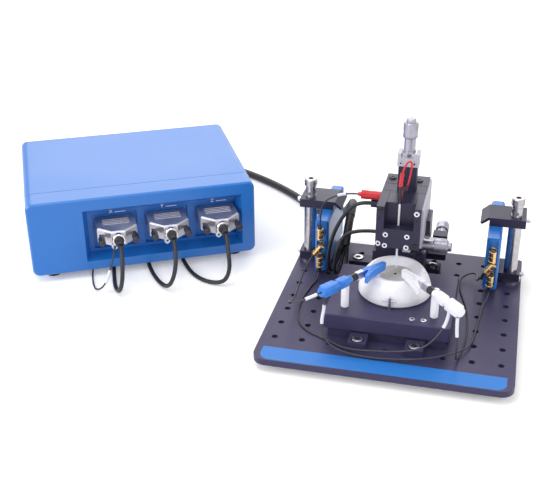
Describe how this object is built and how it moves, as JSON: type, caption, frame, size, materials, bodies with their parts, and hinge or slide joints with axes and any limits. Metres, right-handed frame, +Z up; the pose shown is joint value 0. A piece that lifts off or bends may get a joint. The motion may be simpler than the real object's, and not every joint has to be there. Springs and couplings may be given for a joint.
{
  "type": "scanning electrochemical microscope",
  "caption": "Bench microscope with a perforated base plate, a three-axis micrometer stage that lowers a thin probe into a white cell, side pods on posts and a blue controller joined by cables.",
  "frame": {"origin": "centre of the two units' common box on the bench, without the cords", "axes": "+X to the right along the base plate's front, +Y away from the viewer, +Z up"},
  "size_m": [0.5597, 0.4245, 0.1945],
  "materials": {
    "black_anodised": "satin black anodised aluminium",
    "strip_blue": "blue printed strip",
    "foot_rubber": "black rubber",
    "screw_steel": "stainless",
    "cell_white": "white fluoropolymer",
    "disc_grey": "grey disc",
    "nickel": "nickel plated",
    "aluminium": "brushed",
    "micro_steel": "satin steel",
    "yoke_grey": "grey",
    "probe_black": "black",
    "red_plastic": "red",
    "chrome": "polished",
    "pod_blue": "blue paint",
    "gold": "gilt",
    "case_blue": "pale blue paint",
    "bezel_blue": "blue paint",
    "panel_grey": "blue grey paint",
    "hood_metal": "metallised plastic",
    "knob_black": "black",
    "clip_blue": "blue",
    "clip_white": "white",
    "cable_black": "black jacket",
    "lead_grey": "dark grey jacket",
    "earth_grey": "black jacket",
    "lead_red": "red jacket"
  },
  "bodies": {
    "bench_units": {"base_plate": "black_anodised", "front_strip": "strip_blue", "rubber_feet": "foot_rubber", "cell_platform": "black_anodised", "mounting_screws": "screw_steel", "cell_body": "cell_white", "sample_disc": "disc_grey", "cell_contact": "nickel", "cell_posts": "cell_white", "stage_base": "black_anodised", "y_sleeve": "micro_steel", "posts": "chrome", "post_shoes": "black_anodised", "clamp_arms": "black_anodised", "pods": "pod_blue", "coax_plugs": "gold", "case_cover": "case_blue", "front_bezel": "bezel_blue", "connector_panel": "panel_grey", "case_base": "panel_grey", "plug_hoods": "hood_metal", "jack_screws": "knob_black", "blue_clip_body": "clip_blue", "white_clip_body": "clip_white", "loom_cable": "cable_black", "stage_cable_low": "cable_black", "stage_cable_mid": "cable_black", "stage_cable_top": "cable_black", "plug_cable_x": "cable_black", "plug_cable_y": "cable_black", "plug_cable_z": "cable_black", "earth_wire": "earth_grey", "lead_blue_short": "lead_grey", "lead_white_left": "lead_grey", "lead_blue_long": "lead_grey", "lead_white_right": "lead_grey", "plug_lead": "lead_grey"},
    "y_stage": {"y_carriage": "black_anodised", "x_sleeve": "micro_steel"},
    "x_stage": {"x_carriage": "black_anodised", "head_block": "black_anodised", "head_front": "black_anodised", "head_screws": "nickel", "head_side_cover": "aluminium", "drive_column": "black_anodised", "drive_yoke": "yoke_grey", "z_sleeve": "micro_steel", "red_plug": "red_plastic"},
    "z_stage": {"z_carriage": "black_anodised", "probe": "probe_black", "probe_lead": "lead_red"},
    "x_thimble_turning": {"x_thimble": "micro_steel"},
    "y_thimble_turning": {"y_thimble": "micro_steel"},
    "z_thimble_turning": {"z_thimble": "micro_steel"},
    "post_knob_left_turning": {"post_knob_left": "chrome"},
    "post_knob_right_turning": {"post_knob_right": "chrome"},
    "cell_thumb_left_turning": {"cell_thumb_left": "nickel"},
    "cell_thumb_right_turning": {"cell_thumb_right": "nickel"},
    "blue_clip_jaw_swinging": {"blue_clip_jaw": "clip_blue"},
    "white_clip_jaw_swinging": {"white_clip_jaw": "clip_white"}
  },
  "joints": [
    {"name": "y_slide", "type": "slide", "parent": "bench_units", "child": "y_stage", "axis": [0, 1, 0], "range_m": [-0.004, 0.004], "deforming": ["stage_cable_mid", "stage_cable_top", "plug_lead"]},
    {"name": "x_slide", "type": "slide", "parent": "y_stage", "child": "x_stage", "axis": [1, 0, 0], "range_m": [-0.004, 0.004], "deforming": ["stage_cable_mid", "stage_cable_top", "plug_lead"]},
    {"name": "z_slide", "type": "slide", "parent": "x_stage", "child": "z_stage", "axis": [0, 0, 1], "range_m": [-0.004, 0.004]},
    {"name": "x_thimble_turn", "type": "hinge", "parent": "x_stage", "child": "x_thimble_turning", "pos_m": [0.1966, -0.0225, 0.0615], "axis": [1, 0, 0], "range_deg": [-2882, 2882]},
    {"name": "y_thimble_turn", "type": "hinge", "parent": "y_stage", "child": "y_thimble_turning", "pos_m": [0.1966, 0.0455, 0.047], "axis": [0, 1, 0], "range_deg": [-2882, 2882]},
    {"name": "z_thimble_turn", "type": "hinge", "parent": "z_stage", "child": "z_thimble_turning", "pos_m": [0.1671, -0.0425, 0.184], "axis": [0, 0, 1], "range_deg": [-2882, 2882]},
    {"name": "post_knob_left_turn", "type": "hinge", "parent": "bench_units", "child": "post_knob_left_turning", "pos_m": [0.0656, 0.0145, 0.0825], "axis": [0, 0, 1], "continuous": true},
    {"name": "post_knob_right_turn", "type": "hinge", "parent": "bench_units", "child": "post_knob_right_turning", "pos_m": [0.2676, 0.0145, 0.0825], "axis": [0, 0, 1], "continuous": true},
    {"name": "cell_thumb_left_turn", "type": "hinge", "parent": "bench_units", "child": "cell_thumb_left_turning", "pos_m": [0.1247, -0.1125, 0.06], "axis": [0, 0, 1], "continuous": true},
    {"name": "cell_thumb_right_turn", "type": "hinge", "parent": "bench_units", "child": "cell_thumb_right_turning", "pos_m": [0.2047, -0.1125, 0.06], "axis": [0, 0, 1], "continuous": true},
    {"name": "blue_clip_squeeze", "type": "hinge", "parent": "bench_units", "child": "blue_clip_jaw_swinging", "pos_m": [0.14352, -0.09745, 0.06648], "axis": [-0.0341, -0.0582, -0.9977], "range_deg": [0, 18], "stiffness_Nm_per_rad": 0.05, "springref_deg": -5.73},
    {"name": "white_clip_squeeze", "type": "hinge", "parent": "bench_units", "child": "white_clip_jaw_swinging", "pos_m": [0.1872, -0.10737, 0.06729], "axis": [-0.0231, 0.0276, 0.9994], "range_deg": [0, 18], "stiffness_Nm_per_rad": 0.05, "springref_deg": -5.73}
  ],
  "couplings": [
    {"joint": "x_thimble_turn", "follows": "x_slide", "rad_per_m": 12566},
    {"joint": "y_thimble_turn", "follows": "y_slide", "rad_per_m": 12566},
    {"joint": "z_thimble_turn", "follows": "z_slide", "rad_per_m": 12566}
  ]
}
